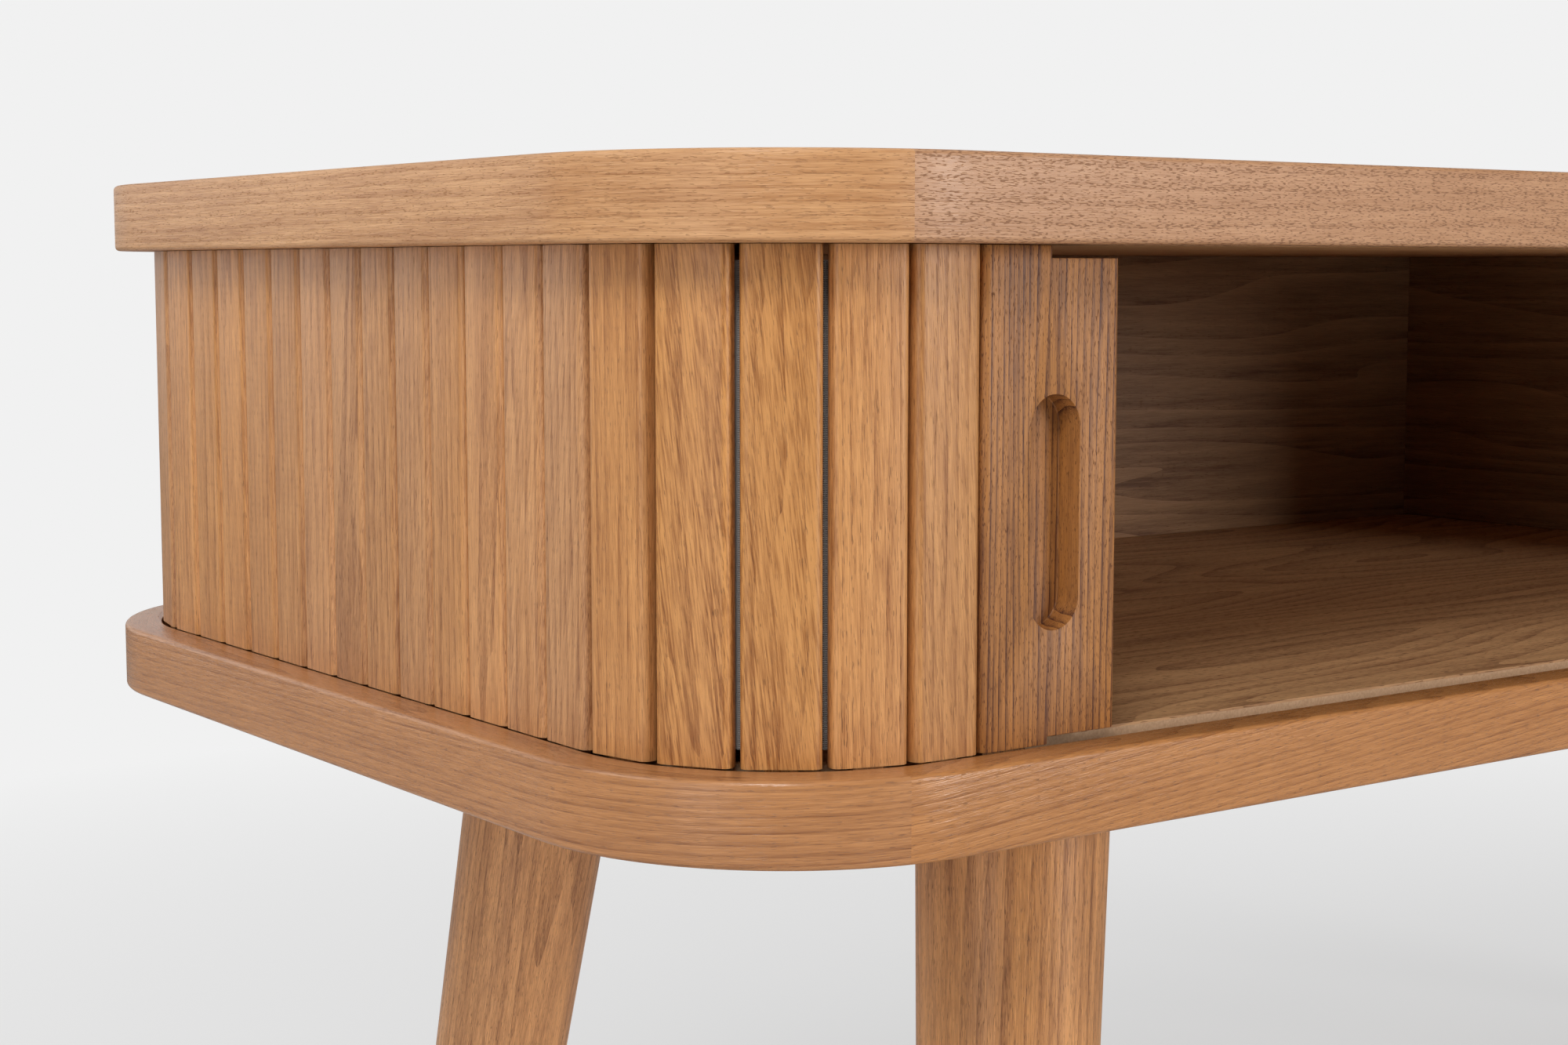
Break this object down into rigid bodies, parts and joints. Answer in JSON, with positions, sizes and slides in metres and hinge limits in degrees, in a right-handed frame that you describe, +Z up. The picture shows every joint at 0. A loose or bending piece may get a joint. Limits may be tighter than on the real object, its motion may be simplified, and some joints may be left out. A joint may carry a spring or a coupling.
{
  "type": "bedside cabinet with tambour door",
  "caption": "Low round-cornered cabinet on four splayed legs, with an open niche, and a compartment behind a slatted tambour door that runs in grooves round the corners.",
  "frame": {"origin": "on the floor, under the middle of the panels", "axes": "+X to the right as seen from the front, -Y to the front, +Z up"},
  "size_m": [1.13, 0.35, 0.45],
  "materials": {
    "solid_ash": "satin lacquer",
    "veneered_board": "satin lacquer",
    "canvas": "woven",
    "steel": "zinc plated",
    "felt": "pressed felt"
  },
  "bodies": {
    "cabinet": {"top_core": "veneered_board", "top_edge_front": "solid_ash", "top_edge_back": "solid_ash", "top_edge_left": "solid_ash", "top_edge_right": "solid_ash", "bottom_core": "veneered_board", "bottom_edge_front": "solid_ash", "bottom_edge_back": "solid_ash", "bottom_edge_left": "solid_ash", "bottom_edge_right": "solid_ash", "inner_wall_left": "veneered_board", "inner_wall_right": "veneered_board", "inner_wall_back": "veneered_board", "middle_wall": "veneered_board", "leg_front_left": "solid_ash", "leg_front_right": "solid_ash", "leg_back_left": "solid_ash", "leg_back_right": "solid_ash", "bolt_front_left": "steel", "bolt_front_right": "steel", "bolt_back_left": "steel", "bolt_back_right": "steel", "glide_front_left": "felt", "glide_front_right": "felt", "glide_back_left": "felt", "glide_back_right": "felt", "canvas_front_corner": "canvas", "canvas_back_corner": "canvas", "fixed_slats_front": "solid_ash", "fixed_slats_side": "solid_ash", "fixed_slats_back": "solid_ash", "fixed_canvas": "canvas", "strike_batten": "solid_ash", "end_batten": "solid_ash"},
    "lead": {"lead_slat": "solid_ash", "canvas_lead": "canvas"},
    "side_run": {"side_slats": "solid_ash", "canvas_side": "canvas"},
    "back_run": {"back_slats": "solid_ash", "canvas_back": "canvas"},
    "front_corner_slat_1": {"front_corner_slat_1": "solid_ash"},
    "front_corner_slat_2": {"front_corner_slat_2": "solid_ash"},
    "front_corner_slat_3": {"front_corner_slat_3": "solid_ash"},
    "front_corner_slat_4": {"front_corner_slat_4": "solid_ash"},
    "front_corner_slat_5": {"front_corner_slat_5": "solid_ash"},
    "front_corner_slat_6": {"front_corner_slat_6": "solid_ash"},
    "front_corner_slat_7": {"front_corner_slat_7": "solid_ash"},
    "front_corner_slat_8": {"front_corner_slat_8": "solid_ash"},
    "back_corner_slat_1": {"back_corner_slat_1": "solid_ash"},
    "back_corner_slat_2": {"back_corner_slat_2": "solid_ash"},
    "back_corner_slat_3": {"back_corner_slat_3": "solid_ash"},
    "back_corner_slat_4": {"back_corner_slat_4": "solid_ash"},
    "back_corner_slat_5": {"back_corner_slat_5": "solid_ash"},
    "back_corner_slat_6": {"back_corner_slat_6": "solid_ash"},
    "back_corner_slat_7": {"back_corner_slat_7": "solid_ash"},
    "back_corner_slat_8": {"back_corner_slat_8": "solid_ash"}
  },
  "joints": [
    {"name": "door_slide", "type": "slide", "parent": "cabinet", "child": "lead", "axis": [1, 0, 0], "range_m": [0, 0.0519], "deforming": ["canvas_front_corner", "canvas_back_corner"]},
    {"name": "side_slats_slide", "type": "slide", "parent": "cabinet", "child": "side_run", "axis": [0, -1, 0], "range_m": [0, 0.0519]},
    {"name": "back_slats_slide", "type": "slide", "parent": "cabinet", "child": "back_run", "axis": [-1, 0, 0], "range_m": [0, 0.0519]},
    {"name": "front_corner_slat_1_turn", "type": "hinge", "parent": "cabinet", "child": "front_corner_slat_1", "pos_m": [-0.4627, 3.3954, 0.378], "axis": [0, 0, 1], "range_deg": [0, 0.837]},
    {"name": "front_corner_slat_2_turn", "type": "hinge", "parent": "cabinet", "child": "front_corner_slat_2", "pos_m": [-0.47911, 0.02405, 0.378], "axis": [0, 0, 1], "range_deg": [0, 16.1]},
    {"name": "front_corner_slat_3_turn", "type": "hinge", "parent": "cabinet", "child": "front_corner_slat_3", "pos_m": [-0.48933, -0.07964, 0.378], "axis": [0, 0, 1], "range_deg": [0, 36.6]},
    {"name": "front_corner_slat_4_turn", "type": "hinge", "parent": "cabinet", "child": "front_corner_slat_4", "pos_m": [-0.49819, -0.10721, 0.378], "axis": [0, 0, 1], "range_deg": [0, 56.27]},
    {"name": "front_corner_slat_5_turn", "type": "hinge", "parent": "cabinet", "child": "front_corner_slat_5", "pos_m": [-0.501, -0.111, 0.378], "axis": [0, 0, 1], "range_deg": [0, 61.51]},
    {"name": "front_corner_slat_6_turn", "type": "hinge", "parent": "cabinet", "child": "front_corner_slat_6", "pos_m": [-0.49447, -0.10678, 0.378], "axis": [0, 0, 1], "range_deg": [0, 53.29]},
    {"name": "front_corner_slat_7_turn", "type": "hinge", "parent": "cabinet", "child": "front_corner_slat_7", "pos_m": [-0.46051, -0.09762, 0.378], "axis": [0, 0, 1], "range_deg": [0, 32.9]},
    {"name": "front_corner_slat_8_turn", "type": "hinge", "parent": "cabinet", "child": "front_corner_slat_8", "pos_m": [-0.31052, -0.08671, 0.378], "axis": [0, 0, 1], "range_deg": [0, 12.39]},
    {"name": "back_corner_slat_1_turn", "type": "hinge", "parent": "cabinet", "child": "back_corner_slat_1", "pos_m": [-0.29265, 0.08608, 0.378], "axis": [0, 0, 1], "range_deg": [0, 11.54]},
    {"name": "back_corner_slat_2_turn", "type": "hinge", "parent": "cabinet", "child": "back_corner_slat_2", "pos_m": [-0.45809, 0.09722, 0.378], "axis": [0, 0, 1], "range_deg": [0, 32.04]},
    {"name": "back_corner_slat_3_turn", "type": "hinge", "parent": "cabinet", "child": "back_corner_slat_3", "pos_m": [-0.49368, 0.10642, 0.378], "axis": [0, 0, 1], "range_deg": [0, 52.5]},
    {"name": "back_corner_slat_4_turn", "type": "hinge", "parent": "cabinet", "child": "back_corner_slat_4", "pos_m": [-0.501, 0.111, 0.378], "axis": [0, 0, 1], "range_deg": [0, 61.51]},
    {"name": "back_corner_slat_5_turn", "type": "hinge", "parent": "cabinet", "child": "back_corner_slat_5", "pos_m": [-0.49848, 0.10771, 0.378], "axis": [0, 0, 1], "range_deg": [0, 56.86]},
    {"name": "back_corner_slat_6_turn", "type": "hinge", "parent": "cabinet", "child": "back_corner_slat_6", "pos_m": [-0.48972, 0.08148, 0.378], "axis": [0, 0, 1], "range_deg": [0, 37.46]},
    {"name": "back_corner_slat_7_turn", "type": "hinge", "parent": "cabinet", "child": "back_corner_slat_7", "pos_m": [-0.47961, -0.01469, 0.378], "axis": [0, 0, 1], "range_deg": [0, 16.95]},
    {"name": "back_corner_slat_8_turn", "type": "hinge", "parent": "cabinet", "child": "back_corner_slat_8", "pos_m": [-0.46342, -2.54561, 0.378], "axis": [0, 0, 1], "range_deg": [0, 1.1]}
  ],
  "couplings": [
    {"joint": "side_slats_slide", "follows": "door_slide", "ratio": 1},
    {"joint": "back_slats_slide", "follows": "door_slide", "ratio": 1},
    {"joint": "front_corner_slat_1_turn", "follows": "door_slide", "rad_per_m": 0.28129},
    {"joint": "front_corner_slat_2_turn", "follows": "door_slide", "rad_per_m": 5.4129},
    {"joint": "front_corner_slat_3_turn", "follows": "door_slide", "rad_per_m": 12.308},
    {"joint": "front_corner_slat_4_turn", "follows": "door_slide", "rad_per_m": 18.922},
    {"joint": "front_corner_slat_5_turn", "follows": "door_slide", "rad_per_m": 20.686},
    {"joint": "front_corner_slat_6_turn", "follows": "door_slide", "rad_per_m": 17.92},
    {"joint": "front_corner_slat_7_turn", "follows": "door_slide", "rad_per_m": 11.062},
    {"joint": "front_corner_slat_8_turn", "follows": "door_slide", "rad_per_m": 4.1666},
    {"joint": "back_corner_slat_1_turn", "follows": "door_slide", "rad_per_m": 3.8787},
    {"joint": "back_corner_slat_2_turn", "follows": "door_slide", "rad_per_m": 10.774},
    {"joint": "back_corner_slat_3_turn", "follows": "door_slide", "rad_per_m": 17.656},
    {"joint": "back_corner_slat_4_turn", "follows": "door_slide", "rad_per_m": 20.686},
    {"joint": "back_corner_slat_5_turn", "follows": "door_slide", "rad_per_m": 19.122},
    {"joint": "back_corner_slat_6_turn", "follows": "door_slide", "rad_per_m": 12.596},
    {"joint": "back_corner_slat_7_turn", "follows": "door_slide", "rad_per_m": 5.7007},
    {"joint": "back_corner_slat_8_turn", "follows": "door_slide", "rad_per_m": 0.36965}
  ]
}
